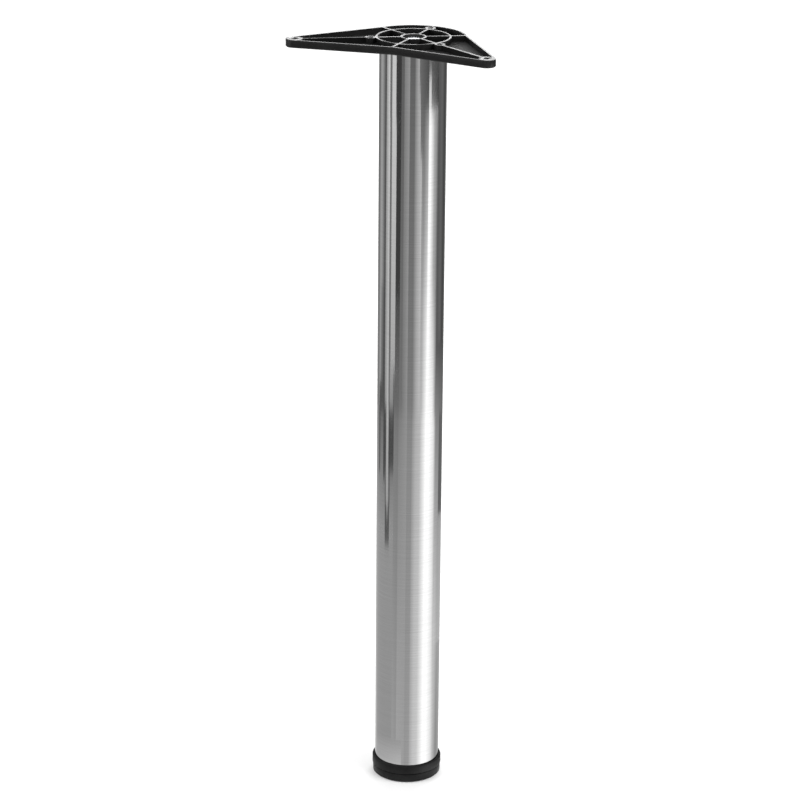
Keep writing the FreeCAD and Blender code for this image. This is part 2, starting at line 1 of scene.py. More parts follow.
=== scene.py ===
# %% [markdown]
# # A height adjustable table leg
#
# This lesson dresses a table leg: a brushed steel tube, a black ribbed mounting plate on top and a
# black screw foot below. The pieces come from a construction model at their real size. Here they get
# their finishes, their soft corners and their threads, in a small photo studio.
#
# The first cell loads that model. It is the fixed frame of the scene, in metres, with Z up and the
# origin on the floor under the tube. Its box is kept, because the dressed leg has to stay inside it.

# %% Load the frame
import json
from math import cos, pi, radians, sin, tan

import bmesh
import bpy
import numpy as np
from mathutils import Matrix, Vector

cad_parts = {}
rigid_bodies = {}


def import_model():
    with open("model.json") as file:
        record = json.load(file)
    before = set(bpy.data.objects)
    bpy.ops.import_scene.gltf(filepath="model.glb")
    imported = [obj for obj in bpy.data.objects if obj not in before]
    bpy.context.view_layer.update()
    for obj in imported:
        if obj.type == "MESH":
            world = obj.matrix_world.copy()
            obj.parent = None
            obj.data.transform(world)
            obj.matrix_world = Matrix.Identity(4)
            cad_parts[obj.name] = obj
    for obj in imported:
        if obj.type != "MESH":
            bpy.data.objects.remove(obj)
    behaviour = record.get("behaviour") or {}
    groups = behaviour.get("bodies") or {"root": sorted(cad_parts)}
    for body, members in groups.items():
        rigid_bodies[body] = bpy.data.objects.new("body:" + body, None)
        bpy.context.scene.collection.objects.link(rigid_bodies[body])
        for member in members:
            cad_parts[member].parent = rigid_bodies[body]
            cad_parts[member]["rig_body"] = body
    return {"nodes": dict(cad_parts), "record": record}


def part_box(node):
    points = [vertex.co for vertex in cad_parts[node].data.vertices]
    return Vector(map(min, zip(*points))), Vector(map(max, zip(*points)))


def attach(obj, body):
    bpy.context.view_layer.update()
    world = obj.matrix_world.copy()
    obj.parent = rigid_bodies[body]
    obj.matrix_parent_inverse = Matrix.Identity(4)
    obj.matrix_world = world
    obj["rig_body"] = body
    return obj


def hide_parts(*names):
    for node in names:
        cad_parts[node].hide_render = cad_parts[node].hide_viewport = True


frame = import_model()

scene = bpy.context.scene
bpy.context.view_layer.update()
MM = 0.001
print("nodes:", ", ".join(sorted(frame["nodes"])))

# %% [markdown]
# ## The camera
#
# A product photo of a tall, thin thing is taken from far away with a long lens, so that its sides stay
# nearly parallel. Here the lens stands higher than the table and looks down a little, which is why the
# tube narrows towards the floor. The camera is turned round the leg, so one arm of the plate points
# at us more than the other. Directions of lamps and cards are given from the camera's side as well.

# %% Camera
CAMERA_TURN = radians(23.24)
CAMERA_DISTANCE = 2.6338
CAMERA_HEIGHT = 1.2945
CAMERA_PAN = radians(-0.1971)
CAMERA_TILT = radians(19.305)
CAMERA_ROLL = radians(0.4973)
LENS_TO_IMAGE_WIDTH = 3.8173


def around(azimuth, distance, height):
    """A point this far round the leg from the camera's side, positive to the camera's right."""
    turn = radians(azimuth) + CAMERA_TURN
    return Vector((distance * sin(turn), -distance * cos(turn), height))


def camera_axes():
    """The camera's right, up and forward directions: turn round the leg, pan, tilt down, then roll."""
    heading = CAMERA_PAN - CAMERA_TURN
    right = Vector((cos(heading), -sin(heading), 0))
    forward = Vector((sin(heading) * cos(CAMERA_TILT), cos(heading) * cos(CAMERA_TILT), -sin(CAMERA_TILT)))
    up = right.cross(forward)
    rolled_right = cos(CAMERA_ROLL) * right + sin(CAMERA_ROLL) * up
    rolled_up = cos(CAMERA_ROLL) * up - sin(CAMERA_ROLL) * right
    return rolled_right, rolled_up, forward


camera = bpy.data.objects.new("camera", bpy.data.cameras.new("camera"))
right, up, forward = camera_axes()
turned = Matrix((right, up, -forward)).transposed().to_4x4()
camera.matrix_world = Matrix.Translation(around(0, CAMERA_DISTANCE, CAMERA_HEIGHT)) @ turned
camera.data.lens = camera.data.sensor_width * LENS_TO_IMAGE_WIDTH
scene.collection.objects.link(camera)
scene.camera = camera
scene.view_settings.view_transform = "Standard"
print(f"lens {camera.data.lens:.0f} mm at {camera.location.length:.2f} m")

# %% [markdown]
# ## Surfaces from numbers
#
# Every new mesh in this lesson is a grid of points. The first parameter runs round or along the piece
# and the second one along its outline. Whole arrays are worked out at once, and the grid's squares are
# found by shifting an array of point numbers. Points that fall together, as at a pole, are merged, and
# the edges that bend sharply are marked, so that smooth shading stops there.

# %% Grid surfaces
SHARP_BEND = radians(35)
SAME_PLACE = 1e-7


def grid_faces(rows, columns, rows_close, columns_close):
    """Corner numbers of each square between a grid point and its neighbours in both parameters."""
    numbers = np.arange(rows * columns).reshape(rows, columns)
    ahead = np.roll(numbers, -1, axis=0)
    beside = np.roll(numbers, -1, axis=1)
    diagonal = np.roll(ahead, -1, axis=1)
    squares = np.stack([numbers, ahead, diagonal, beside], axis=-1)
    squares = squares[: rows if rows_close else rows - 1, : columns if columns_close else columns - 1]
    return squares.reshape(-1, 4)


def add_surface(name, points, rows_close=True, columns_close=False):
    """An object whose mesh is the grid points[i, j], with merged poles and outward faces."""
    rows, columns, _ = points.shape
    mesh = bpy.data.meshes.new(name)
    faces = grid_faces(rows, columns, rows_close, columns_close)
    mesh.from_pydata(points.reshape(-1, 3).tolist(), [], faces.tolist())
    work = bmesh.new()
    work.from_mesh(mesh)
    bmesh.ops.remove_doubles(work, verts=work.verts, dist=SAME_PLACE)
    bmesh.ops.recalc_face_normals(work, faces=work.faces)
    work.to_mesh(mesh)
    work.free()
    mesh.shade_smooth()
    mesh.set_sharp_from_angle(angle=SHARP_BEND)
    piece = bpy.data.objects.new(name, mesh)
    scene.collection.objects.link(piece)
    return piece


def turned_grid(radii, heights, steps):
    """A profile carried round Z: point (i, j) has angle 2 pi i / steps and the j-th radius and height."""
    angles = np.linspace(0, 2 * pi, steps, endpoint=False)[:, None]
    flat = np.ones_like(angles)
    return np.stack([radii * np.cos(angles), radii * np.sin(angles), heights * flat], axis=-1)


print("grid helpers are ready")

# %% [markdown]
# ## Floor and background
#
# The leg stands on a plain white sweep. The world is white for the camera and for reflections, and it
# gives the object only a soft fill. A Light Path node tells those rays apart.

# %% World
FILL_LIGHT = 0.55
WHITE = (1, 1, 1, 1)


def combined(tree, operation, first, second):
    """Two numbers joined by a Math node."""
    node = tree.nodes.new("ShaderNodeMath")
    node.operation = operation
    tree.links.new(first, node.inputs[0])
    tree.links.new(second, node.inputs[1])
    return node.outputs[0]


def seen_directly(tree):
    """One for rays from the camera, from a mirror or through glass, zero for diffuse light."""
    path = tree.nodes.new("ShaderNodeLightPath").outputs
    opaque = combined(tree, "MAXIMUM", path["Is Camera Ray"], path["Is Glossy Ray"])
    return combined(tree, "MAXIMUM", opaque, path["Is Transmission Ray"])


def scaled(tree, source, low, high, start=0, stop=1):
    """The source's values between start and stop spread evenly over low to high, and held there beyond."""
    spread = tree.nodes.new("ShaderNodeMapRange")
    spread.inputs["From Min"].default_value = start
    spread.inputs["From Max"].default_value = stop
    spread.inputs["To Min"].default_value = low
    spread.inputs["To Max"].default_value = high
    tree.links.new(source, spread.inputs["Value"])
    return spread.outputs["Result"]


world = bpy.data.worlds.new("studio_white")
world.use_nodes = True
scene.world = world
sky = world.node_tree.nodes["Background"]
sky.inputs["Color"].default_value = WHITE
brightness = scaled(world.node_tree, seen_directly(world.node_tree), FILL_LIGHT, 1)
world.node_tree.links.new(brightness, sky.inputs["Strength"])
print("world fills with", FILL_LIGHT)

# %% [markdown]
# The floor is a pale diffuse sheet with a glow that again only the camera and reflections see. The glow
# rises with the distance from the leg: far off it keeps the sheet white, and near the foot, where the
# lamps light the sheet, it leaves the soft shadow to be seen. The floor rides on the glide pad's body:
# when the foot is screwed out, the floor stays under it and the leg stands higher.

# %% Floor
FLOOR_COLOUR = (0.82, 0.82, 0.82, 1)
FLOOR_GLOW = (0.21, 0.5)
GLOW_RISES = (0.3, 2.5)
FLOOR_REACH = 12.0


def from_leg(tree):
    """How far a point of the floor is from the leg's axis: the length of its place."""
    place = tree.nodes.new("ShaderNodeTexCoord")
    distance = tree.nodes.new("ShaderNodeVectorMath")
    distance.operation = "LENGTH"
    tree.links.new(place.outputs["Object"], distance.inputs[0])
    return distance.outputs["Value"]


sheet = bpy.data.materials.new("white_sweep")
sheet.use_nodes = True
sheet_tree = sheet.node_tree
sheet_shader = sheet_tree.nodes["Principled BSDF"]
sheet_shader.inputs["Base Color"].default_value = FLOOR_COLOUR
sheet_shader.inputs["Roughness"].default_value = 1.0
sheet_shader.inputs["Specular IOR Level"].default_value = 0.0
sheet_shader.inputs["Emission Color"].default_value = WHITE
rising = scaled(sheet_tree, from_leg(sheet_tree), *FLOOR_GLOW, *GLOW_RISES)
glow = combined(sheet_tree, "MULTIPLY", rising, seen_directly(sheet_tree))
sheet_tree.links.new(glow, sheet_shader.inputs["Emission Strength"])

edge = np.array([-FLOOR_REACH, FLOOR_REACH])
wide, deep = np.meshgrid(edge, edge, indexing="ij")
floor = add_surface("floor", np.stack([wide, deep, np.zeros_like(wide)], axis=-1), rows_close=False)
floor.data.materials.append(sheet)
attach(floor, "glide")
print("floor reaches", FLOOR_REACH, "m")

# %% [markdown]
# ## What the tube mirrors
#
# A polished tube has hardly any colour of its own. Its stripes are the studio seen in a narrow mirror:
# a point whose normal looks a degree to the side shows what stands two degrees to the side. So bright
# and dark cards stand in a ring round the leg, and boards lie on the floor inside the ring. The upper
# half of the tube shows the cards, the lower half the boards. Both are hidden from the camera, cast
# no shadow and give no diffuse light, so they only live in reflections. They ride with the floor.
#
# A place on a card is given by the direction in which the tube mirrors it and its distance from the
# tube's wall. The wall's point lies half as far round as that direction, so a straight stripe on the
# tube needs a card that leaves the axis a little to one side.

# %% Card places
CARD_STEPS = 9
MIRROR_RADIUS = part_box("tube")[1].x


def sheet_between(first, last):
    """Points of a curved sheet between two edges (start, stop, distance, height).

    A point lies on the tube's wall at half its azimuth and goes from there along its azimuth.
    """
    share = np.linspace(0, 1, CARD_STEPS)[:, None]
    start, stop, distance, height = np.array([first, last], float).T
    azimuths = np.radians(start + share * (stop - start))
    wall = azimuths / 2 + CAMERA_TURN
    outward = azimuths + CAMERA_TURN
    x = MIRROR_RADIUS * np.sin(wall) + distance * np.sin(outward)
    y = -MIRROR_RADIUS * np.cos(wall) - distance * np.cos(outward)
    return np.stack([x, y, height * np.ones_like(share)], axis=-1)


print(f"the mirror is {2 * MIRROR_RADIUS / MM:.0f} mm wide")

# %% [markdown]
# A card fades between its four corners, like cloth in front of a lamp. The fade is kept as a number on
# each point of its mesh, and one material for all cards reads that number as its strength.

# %% Card light
SHINE = "shine"

card_light = bpy.data.materials.new("card_light")
card_light.use_nodes = True
card_tree = card_light.node_tree
card_tree.nodes.remove(card_tree.nodes["Principled BSDF"])
card_shine = card_tree.nodes.new("ShaderNodeEmission")
card_number = card_tree.nodes.new("ShaderNodeAttribute")
card_number.attribute_name = SHINE
card_tree.links.new(card_number.outputs["Fac"], card_shine.inputs["Strength"])
card_tree.links.new(card_shine.outputs[0], card_tree.nodes["Material Output"].inputs["Surface"])


def even(level):
    """The same brightness at all four corners."""
    return (level, level, level, level)


def across(first, last):
    """Brightness that fades from a card's left side to its right side."""
    return (first, last, first, last)


def upward(foot, head):
    """Brightness that fades from a card's foot to its head."""
    return (foot, foot, head, head)


def add_card(name, first, last, corners):
    """A card that only reflections see, with a brightness for each corner and even fades between them."""
    card = add_surface(name, sheet_between(first, last), rows_close=False)
    share = np.linspace(0, 1, CARD_STEPS)[:, None]
    starts, stops = np.array(corners).reshape(2, 2).T
    shine = starts + share * (stops - starts)
    card.data.attributes.new(SHINE, "FLOAT", "POINT").data.foreach_set("value", shine.ravel())
    card.data.materials.append(card_light)
    card.visible_camera = False
    card.visible_diffuse = False
    card.visible_shadow = False
    card.visible_transmission = False
    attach(card, "glide")


print("cards shine by their", SHINE, "number")

# %% [markdown]
# The list starts behind the leg on the left and goes round in front of it to the right. Azimuths are
# degrees from the camera's side, heights are metres. Each card stands a millimetre in front of the one
# before, so where two overlap the later one shows. A card that ends at CARD_TOP is carried on upwards,
# for cameras that stand lower than this one.

# %% Cards
CARD_DISTANCE = 1.05
CARD_GAP = 0.001
CARD_TOP = 0.6
STUDIO_TOP = 0.8
# From and to which azimuth, from and to which height, brightness at the corners.
CARDS = [
    (-180, -152, 0, 0.45, upward(0.42, 0.22)),
    (-180, -143, 0.45, CARD_TOP, across(0.24, 0.22)),
    (-152, -143, 0, 0.45, upward(0.26, 0.22)),
    (-143, -134, 0, CARD_TOP, across(0.28, 0.54)),
    (-134, -123, 0, CARD_TOP, across(0.55, 0.58)),
    (-123, -105, 0, CARD_TOP, across(0.56, 0.16)),
    (-105, -99.5, 0, CARD_TOP, even(0.15)),
    (-99.5, -81.8, 0, 0.38, (0.46, 0.94, 0.54, 1.16)),
    (-99.5, -83.2, 0.38, CARD_TOP, across(0.54, 1.18)),
    (-81.8, -73.6, 0, 0.38, even(0.29)),
    (-83.2, -73.6, 0.38, CARD_TOP, even(0.29)),
    (-74, -58, 0.38, CARD_TOP, even(1.06)),
    (-73.6, -55.4, 0.06, 0.38, upward(0.74, 1.04)),
    (-76, -62, 0, 0.06, even(0.56)),
    (-58, -38.6, 0.38, CARD_TOP, even(0.08)),
    (-55.4, -38.6, 0.15, 0.38, even(0.08)),
    (-55.4, -38.6, 0.06, 0.15, upward(0.22, 0.14)),
    (-62, -38.6, 0, 0.06, even(0.25)),
    (-38.6, -28, 0, CARD_TOP, upward(0.31, 0.18)),
    (-28, -5, 0, CARD_TOP, (0.34, 0.58, 0.40, 0.62)),
    (-128, -105, 0.03, 0.17, (0.38, 0.10, 0.52, 0.12)),
    (-135, -99.5, 0, 0.04, even(0.15)),
    (-9.5, 8, 0, CARD_TOP, upward(0.37, 0.18)),
    (8, 18, 0, CARD_TOP, across(0.36, 0.66)),
    (18, 34, 0, CARD_TOP, across(0.68, 0.98)),
    (33.5, 40, 0, 0.37, upward(0.92, 0.40)),
    (40, 59, 0, 0.12, (0.86, 1.90, 0.78, 1.66)),
    (40, 59, 0.12, 0.27, (0.78, 1.66, 0.44, 1.00)),
    (40, 59, 0.27, 0.40, (0.44, 1.00, 0.24, 0.70)),
    (28, 40, 0.34, 0.40, even(0.28)),
    (26.5, 58, 0.40, 0.424, across(0.27, 0.12)),
    (22.5, 58, 0.424, CARD_TOP, across(0.28, 0.12)),
    (57, 66.5, 0.40, 0.442, even(1.24)),
    (57, 98, 0.442, CARD_TOP, across(0.20, 0.12)),
    (66.5, 98, 0.40, 0.442, across(0.26, 0.08)),
    (98, 120, 0, CARD_TOP, across(0.16, 0.22)),
    (120, 137, 0, CARD_TOP, across(0.22, 0.11)),
    (137, 148, 0, CARD_TOP, even(0.09)),
    (148, 180, 0, 0.36, even(0.18)),
    (148, 180, 0.36, CARD_TOP, across(0.14, 0.50)),
    (101, 160, 0, 0.10, (0.48, 0.20, 0.16, 0.12)),
    (58, 67, 0, 0.40, even(1.92)),
    (67, 81, 0.18, 0.40, across(1.85, 0.86)),
    (81, 93, 0.18, 0.40, across(0.80, 0.52)),
    (93, 101, 0.18, 0.40, across(0.46, 0.18)),
    (67, 84, 0, 0.18, (1.92, 1.82, 1.85, 0.80)),
    (84, 101, 0, 0.18, (1.82, 0.36, 0.80, 0.16)),
    (166, 194, 0.80, 1.10, even(4.0)),
]

for number, (start, stop, low, high, corners) in enumerate(CARDS):
    distance = CARD_DISTANCE - number * CARD_GAP
    add_card(f"card_{number}", (start, stop, distance, low), (start, stop, distance, high), corners)
    if high == CARD_TOP:
        head = (start, stop, distance, STUDIO_TOP)
        add_card(f"card_{number}_top", (start, stop, distance, CARD_TOP), head, across(*corners[2:]))
print(len(CARDS), "cards")

# %% [markdown]
# The boards on the floor continue what stands behind them. Near the leg most of them are paler, because
# the white floor fills in between.

# %% Boards
BOARD_HEIGHT = 0.002
BOARD_GAP = 0.0002
# From and to which azimuth, from and to which distance, brightness at the corners.
BOARDS = [
    (-180, -143, 0.01, 1.05, (0.96, 0.72, 0.50, 0.40)),
    (-143, -58, 0.01, 0.63, even(0.54)),
    (-143, -58, 0.63, 1.05, (0.52, 0.52, 0.24, 0.28)),
    (-58, -40, 0.01, 1.05, (0.64, 0.56, 0.34, 0.34)),
    (-40, -5, 0.01, 1.05, (0.70, 0.62, 0.38, 0.56)),
    (-9.5, 8, 0.01, 1.05, (0.58, 0.62, 0.44, 0.44)),
    (8, 21, 0.01, 1.05, (0.74, 1.02, 0.50, 0.78)),
    (21, 35, 0.01, 1.05, (1.02, 1.12, 0.78, 0.88)),
    (35, 56, 0.01, 1.05, (1.14, 1.95, 0.86, 1.80)),
    (56, 74, 0.01, 1.05, even(1.95)),
    (74, 93, 0.01, 1.05, across(1.92, 1.46)),
    (93, 104, 0.01, 1.05, (1.46, 1.06, 1.40, 0.46)),
    (104, 126, 0.01, 0.30, (0.94, 0.44, 1.04, 0.68)),
    (104, 126, 0.30, 1.05, (1.08, 0.78, 0.38, 0.36)),
    (126, 180, 0.01, 0.30, (0.44, 0.62, 0.62, 0.48)),
    (126, 180, 0.30, 1.05, (0.76, 0.58, 0.44, 0.34)),
    (-143, -20, 0.01, 0.08, (0.74, 0.96, 0.54, 0.58)),
    (-135, -126, 0.80, 1.05, even(0.16)),
    (-106, -92, 0.78, 1.05, even(0.12)),
    (-80, -58, 0.81, 1.05, even(0.12)),
    (-97, -72, 0.70, 0.81, even(0.28)),
    (-90, -80, 0.70, 1.05, upward(0.66, 0.80)),
    (-95, -75, 0.575, 0.70, even(0.16)),
    (-88, -81, 0.64, 0.70, upward(0.16, 0.60)),
    (126, 165, 0.66, 1.05, even(0.20)),
]

for number, (start, stop, near, far, corners) in enumerate(BOARDS):
    height = BOARD_HEIGHT + number * BOARD_GAP
    add_card(f"board_{number}", (start, stop, near, height), (start, stop, far, height), corners)
print(len(BOARDS), "boards")

# %% [markdown]
# ## Lamps
#
# Three large soft lamps: a key from the right, a weaker one from the left and one from above and
# behind. They give the shadow round the foot and the soft light on the plastic.

# %% Lamps
LAMP_AIM = Vector((0, 0, 0.35))
# Name, azimuth, distance, height, size and watts.
LAMPS = [
    ("key_lamp", 62, 2.2, 2.0, 1.8, 44),
    ("left_lamp", -70, 2.4, 1.8, 1.6, 30),
    ("back_lamp", 170, 2.0, 2.4, 1.6, 40),
]


def add_lamp(name, azimuth, distance, height, size, watts):
    """A square area lamp that looks at the middle of the leg."""
    data = bpy.data.lights.new(name, "AREA")
    data.shape = "SQUARE"
    data.size = size
    data.energy = watts
    lamp = bpy.data.objects.new(name, data)
    lamp.location = around(azimuth, distance, height)
    lamp.rotation_euler = (LAMP_AIM - lamp.location).to_track_quat("-Z", "Y").to_euler()
    lamp.visible_camera = False
    lamp.visible_glossy = False
    scene.collection.objects.link(lamp)


for values in LAMPS:
    add_lamp(*values)
print(len(LAMPS), "lamps")

# %% [markdown]
# ## Finishes
#
# Each finish is a Principled shader. Values that are the same all over go straight to its sockets. What
# changes over the surface, such as grain, comes from noise on Object coordinates, which are the part's
# own metres here because every piece sits at the origin.

# %% Finish helpers
TINT_SPAN = (0.3, 0.7)


def new_finish(name, colour, roughness, metallic=0.0, specular=0.5):
    """A material with even values on its shader."""
    finish = bpy.data.materials.new(name)
    finish.use_nodes = True
    shader = finish.node_tree.nodes["Principled BSDF"]
    shader.inputs["Base Color"].default_value = (*colour, 1)
    shader.inputs["Roughness"].default_value = roughness
    shader.inputs["Metallic"].default_value = metallic
    shader.inputs["Specular IOR Level"].default_value = specular
    return finish, shader


def grain(tree, per_metre, detail=2.0):
    """Noise whose grains per metre differ along X, Y and Z."""
    place = tree.nodes.new("ShaderNodeTexCoord")
    stretch = tree.nodes.new("ShaderNodeMapping")
    stretch.inputs["Scale"].default_value = per_metre
    noise = tree.nodes.new("ShaderNodeTexNoise")
    noise.inputs["Scale"].default_value = 1.0
    noise.inputs["Detail"].default_value = detail
    tree.links.new(place.outputs["Object"], stretch.inputs["Vector"])
    tree.links.new(stretch.outputs["Vector"], noise.inputs["Vector"])
    return noise.outputs["Fac"]


def tint(finish, shader, source, dark, light):
    """Base colour from dark to light along the middle of the source's range."""
    ramp = finish.node_tree.nodes.new("ShaderNodeValToRGB")
    for stop, position, colour in zip(ramp.color_ramp.elements, TINT_SPAN, (dark, light)):
        stop.position = position
        stop.color = (*colour, 1)
    finish.node_tree.links.new(source, ramp.inputs["Fac"])
    finish.node_tree.links.new(ramp.outputs["Color"], shader.inputs["Base Color"])


def roughen(finish, shader, source, low, high):
    """Roughness from low to high along the source."""
    finish.node_tree.links.new(scaled(finish.node_tree, source, low, high), shader.inputs["Roughness"])


def emboss(finish, shader, source, depth):
    """Bump of this depth in metres."""
    bump = finish.node_tree.nodes.new("ShaderNodeBump")
    bump.inputs["Distance"].default_value = depth
    bump.inputs["Strength"].default_value = 1.0
    finish.node_tree.links.new(source, bump.inputs["Height"])
    finish.node_tree.links.new(bump.outputs["Normal"], shader.inputs["Normal"])


print("finish helpers are ready")

# %% [markdown]
# ### Moulded plastics
#
# The plate, the collar and the foot are black mouldings: a colour with faint clouds, and a fine grain
# that the mould leaves, which shows as uneven roughness and as a bump. Collar and foot have little sheen.
# The glide pad is a greyer, waxy plastic.

# %% Moulded plastics
CLOUDS_PER_METRE = (90, 90, 90)
CLOUD_DETAIL = 4.0
GRAINS_PER_METRE = (1800, 1800, 1800)
GRAIN_DETAIL = 3.0


def moulded(name, dark, light, smooth, rough, grain_depth, specular):
    """Plastic with fine grain and faint clouds. Returns the material and its shader."""
    finish, shader = new_finish(name, dark, smooth, specular=specular)
    tree = finish.node_tree
    tint(finish, shader, grain(tree, CLOUDS_PER_METRE, CLOUD_DETAIL), dark, light)
    fine = grain(tree, GRAINS_PER_METRE, GRAIN_DETAIL)
    roughen(finish, shader, fine, smooth, rough)
    emboss(finish, shader, fine, grain_depth)
    return finish, shader


foot_black, _ = moulded(
    "foot_black",
    dark=(0.004, 0.004, 0.004),
    light=(0.009, 0.009, 0.009),
    smooth=0.38,
    rough=0.50,
    grain_depth=0.015 * MM,
    specular=0.20,
)
glide_grey, _ = moulded(
    "glide_grey",
    dark=(0.070, 0.070, 0.074),
    light=(0.100, 0.100, 0.104),
    smooth=0.45,
    rough=0.6,
    grain_depth=0.02 * MM,
    specular=0.5,
)
print("plastics:", foot_black.name, glide_grey.name)

# %% [markdown]
# ### The plate's surfaces
#
# The floors of the plate's mould were spark eroded, which leaves a fine even grain that scatters light.
# Its walls come out smoother. The faces that lie against the table are rubbed bright in patches, so seen
# from low down they mirror the wall behind and draw the ribs in white. The height tells floors, walls and
# table faces apart. The walls inside the pockets, which a number on each face of the plate marks, get
# less specular light: a painted shade that darkens the pockets where shade falls.

# %% Plate finish
TABLE_FACE = (709.75 * MM, 709.95 * MM)
POCKET_FLOOR = 705 * MM
FLOOR_SPAN = 0.05 * MM
WALL_ROUGHNESS = 0.34
POCKET_WALL = "pocket_wall"
# Specular level on the walls inside pockets: painted shade.
POCKET_SHADE_SPECULAR = 0.13
RUBS_PER_METRE = (420, 420, 420)
RUBBED = (0.14, 0.40)


def height_of(tree):
    """The height of a point above the floor."""
    place = tree.nodes.new("ShaderNodeTexCoord")
    parts = tree.nodes.new("ShaderNodeSeparateXYZ")
    tree.links.new(place.outputs["Object"], parts.inputs[0])
    return parts.outputs["Z"]


def smooth_walls(finish, shader, floor_height, roughness):
    """Keeps the grain's roughness only near the floor's height and gives the rest one value."""
    tree = finish.node_tree
    grained = shader.inputs["Roughness"].links[0].from_socket
    near = tree.nodes.new("ShaderNodeMath")
    near.operation = "COMPARE"
    near.inputs[1].default_value = floor_height
    near.inputs[2].default_value = FLOOR_SPAN
    tree.links.new(height_of(tree), near.inputs[0])
    mix = tree.nodes.new("ShaderNodeMix")
    mix.inputs["A"].default_value = roughness
    tree.links.new(near.outputs[0], mix.inputs["Factor"])
    tree.links.new(grained, mix.inputs["B"])
    tree.links.new(mix.outputs["Result"], shader.inputs["Roughness"])


def rub_smooth(finish, shader, heights, low, high):
    """Changes the roughness above a height to patches between two values, with a ramp between heights."""
    tree = finish.node_tree
    below = shader.inputs["Roughness"].links[0].from_socket
    mix = tree.nodes.new("ShaderNodeMix")
    tree.links.new(scaled(tree, height_of(tree), 0, 1, *heights), mix.inputs["Factor"])
    tree.links.new(below, mix.inputs["A"])
    tree.links.new(scaled(tree, grain(tree, RUBS_PER_METRE), low, high), mix.inputs["B"])
    tree.links.new(mix.outputs["Result"], shader.inputs["Roughness"])


def shade_pocket_walls(finish, shader, specular):
    """Painted shade: specular light falls to another level on the faces marked as walls of a pocket."""
    tree = finish.node_tree
    marked = tree.nodes.new("ShaderNodeAttribute")
    marked.attribute_name = POCKET_WALL
    level = shader.inputs["Specular IOR Level"]
    tree.links.new(scaled(tree, marked.outputs["Fac"], level.default_value, specular), level)


plate_black, plate_shader = moulded(
    "plate_black",
    dark=(0.004, 0.004, 0.004),
    light=(0.008, 0.008, 0.008),
    smooth=0.58,
    rough=0.74,
    grain_depth=0.02 * MM,
    specular=0.42,
)
smooth_walls(plate_black, plate_shader, POCKET_FLOOR, WALL_ROUGHNESS)
rub_smooth(plate_black, plate_shader, TABLE_FACE, *RUBBED)
# Painted shade: less specular light on the walls inside the pockets.
shade_pocket_walls(plate_black, plate_shader, POCKET_SHADE_SPECULAR)
print(f"plate's pockets end at {POCKET_FLOOR / MM:.0f} mm")

# %% [markdown]
# ### Zinc and bare sheet
#
# The screws and washers are zinc plated: bright, with a faint blue and a cloudy sheen. The bridge inside
# the tube is bare pressed sheet, duller and grainier.

# %% Zinc and bare sheet
ZINC_CLOUDS_PER_METRE = (260, 260, 260)
SHEET_GRAINS_PER_METRE = (500, 500, 500)

zinc_bright, zinc_shader = new_finish("zinc_bright", (0.70, 0.72, 0.75), roughness=0.25, metallic=1.0)
clouds = grain(zinc_bright.node_tree, ZINC_CLOUDS_PER_METRE, CLOUD_DETAIL)
tint(zinc_bright, zinc_shader, clouds, dark=(0.62, 0.65, 0.69), light=(0.76, 0.77, 0.78))
roughen(zinc_bright, zinc_shader, clouds, low=0.18, high=0.34)

bare_steel, steel_shader = new_finish("bare_steel", (0.4, 0.4, 0.42), roughness=0.4, metallic=1.0)
specks = grain(bare_steel.node_tree, SHEET_GRAINS_PER_METRE)
roughen(bare_steel, steel_shader, specks, low=0.3, high=0.5)
print("metals:", zinc_bright.name, bare_steel.name)

# %% [markdown]
# ### Brushed steel
#
# The tube was brushed while it turned, so the scratches run round it. Light spreads across scratches
# and stays sharp along them: a reflection is drawn out up and down the tube and keeps its sides.
# That is anisotropy. The Tangent node points round Z and a quarter turn puts the rough direction along
# the axis. Long thin noise adds the scratches themselves.

# %% Brushed steel
SCRATCHES_PER_METRE = (28, 28, 4200)
SWEEPS_PER_METRE = (16, 16, 700)
QUARTER_TURN = 0.25
DRAWN_OUT = 0.6

brushed, brushed_shader = new_finish("brushed_round", (0.52, 0.52, 0.52), roughness=0.07, metallic=1.0)
brushed_shader.inputs["Anisotropic"].default_value = DRAWN_OUT
brushed_shader.inputs["Anisotropic Rotation"].default_value = QUARTER_TURN
tangent = brushed.node_tree.nodes.new("ShaderNodeTangent")
tangent.direction_type = "RADIAL"
tangent.axis = "Z"
brushed.node_tree.links.new(tangent.outputs["Tangent"], brushed_shader.inputs["Tangent"])
scratches = grain(brushed.node_tree, SCRATCHES_PER_METRE, GRAIN_DETAIL)
tint(brushed, brushed_shader, scratches, dark=(0.48, 0.48, 0.48), light=(0.56, 0.56, 0.56))
sweeps = grain(brushed.node_tree, SWEEPS_PER_METRE)
roughen(brushed, brushed_shader, sweeps, low=0.058, high=0.082)
print("brushed steel:", brushed.name)

# %% [markdown]
# ## Finishes for the pieces that stay as they are
#
# A piece whose form is right keeps its mesh, and only its material slot changes.

# %% Finishes of the construction pieces
FINISHES = {
    "plate_plastic": plate_black,
    "foot_plastic": foot_black,
    "glide_plastic": glide_grey,
    "tube_steel": brushed,
    "zinc_steel": zinc_bright,
    "pressed_steel": bare_steel,
}
SLOTS = {part["node"]: part["material_slot"] for part in frame["record"]["subparts"]}


def dress(piece, node):
    """The piece gets the one finish of a node's slot."""
    piece.data.materials.clear()
    piece.data.materials.append(FINISHES[SLOTS[node]])


def stand_in(piece, node):
    """The piece takes a node's place: its finish and its body, and the node is hidden."""
    dress(piece, node)
    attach(piece, frame["nodes"][node]["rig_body"])
    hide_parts(node)


for name, piece in frame["nodes"].items():
    dress(piece, name)
print("finishes on", len(frame["nodes"]), "nodes")

# %% [markdown]
# ## The tube
#
# The tube's outline is its wall: up the outside, over the end, down the inside. Carried round the axis
# in fine steps it mirrors the studio without facets, which show at once in a polished cylinder. Its
# two rims are slightly rounded, as a sawn and brushed tube's are.

# %% Tube
TUBE_STEPS = 360
TUBE_WALL = 1.0 * MM
RIM_ROUND = 0.25 * MM
ROUND_STEPS = 4
SUPPORT = 1.6


